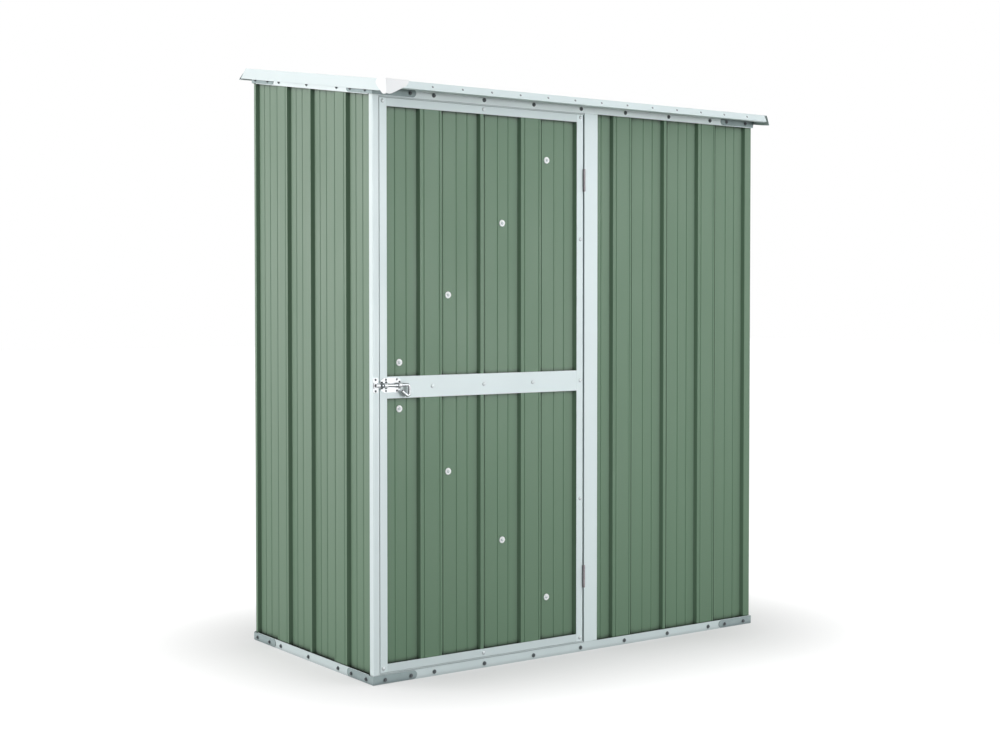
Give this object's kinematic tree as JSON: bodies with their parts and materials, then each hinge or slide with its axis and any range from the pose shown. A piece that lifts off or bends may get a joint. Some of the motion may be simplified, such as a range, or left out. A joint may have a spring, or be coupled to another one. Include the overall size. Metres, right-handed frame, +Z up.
{
  "type": "metal tool shed",
  "caption": "Narrow metal tool shed with ribbed grey-green walls, pale frame and flashings, a skillion roof and one braced door with a pad bolt.",
  "frame": {"origin": "middle of the footprint under the roof outline, on the ground", "axes": "+Z up, the front with the door faces -Y, +X to the right when looking at the front"},
  "size_m": [1.5337, 0.9413, 1.8819],
  "materials": {
    "green_sheet": "satin grey-green paint",
    "pale_frame": "satin pale zinc-aluminium coat",
    "zinc_plate": "matt zinc",
    "bright_zinc": "bright zinc",
    "white_plastic": "moulded white"
  },
  "bodies": {
    "shed": {"base_rail_front": "pale_frame", "base_rail_rear": "pale_frame", "base_rail_left": "pale_frame", "base_rail_right": "pale_frame", "top_rail_front": "pale_frame", "top_rail_rear": "pale_frame", "top_rail_left": "pale_frame", "top_rail_right": "pale_frame", "base_bracket_front_left": "zinc_plate", "base_bracket_front_right": "zinc_plate", "base_bracket_rear_left": "zinc_plate", "base_bracket_rear_right": "zinc_plate", "top_bracket_front_left": "zinc_plate", "top_bracket_front_right": "zinc_plate", "top_bracket_rear_left": "zinc_plate", "top_bracket_rear_right": "zinc_plate", "latch_post": "pale_frame", "hinge_post": "pale_frame", "left_wall_sheet": "green_sheet", "right_wall_sheet": "green_sheet", "front_wall_sheet": "green_sheet", "rear_wall_sheet_left": "green_sheet", "rear_wall_sheet_right": "green_sheet", "roof_sheet_left": "green_sheet", "roof_sheet_right": "green_sheet", "front_eave_flashing": "pale_frame", "rear_eave_flashing": "pale_frame", "left_barge_flashing": "pale_frame", "right_barge_flashing": "pale_frame", "roof_corner_cap": "white_plastic", "upper_hinge_post_leaf": "bright_zinc", "lower_hinge_post_leaf": "bright_zinc", "bolt_keeper": "bright_zinc"},
    "door": {"door_latch_stile": "pale_frame", "door_hinge_stile": "pale_frame", "door_top_rail": "pale_frame", "door_mid_rail": "pale_frame", "door_bottom_rail": "pale_frame", "door_sheet": "green_sheet", "door_brace_upper": "pale_frame", "door_brace_lower": "pale_frame", "upper_hinge_door_leaf": "bright_zinc", "lower_hinge_door_leaf": "bright_zinc", "bolt_guide_plate": "bright_zinc"},
    "bolt": {"pad_bolt": "bright_zinc"}
  },
  "joints": [
    {"name": "door_hinge", "type": "hinge", "parent": "shed", "child": "door", "pos_m": [0.0194, -0.382, 0], "axis": [0, 0, 1], "range_deg": [0, 165]},
    {"name": "bolt_slide", "type": "slide", "parent": "door", "child": "bolt", "axis": [-1, 0, 0], "range_m": [0, 0.0175]}
  ]
}
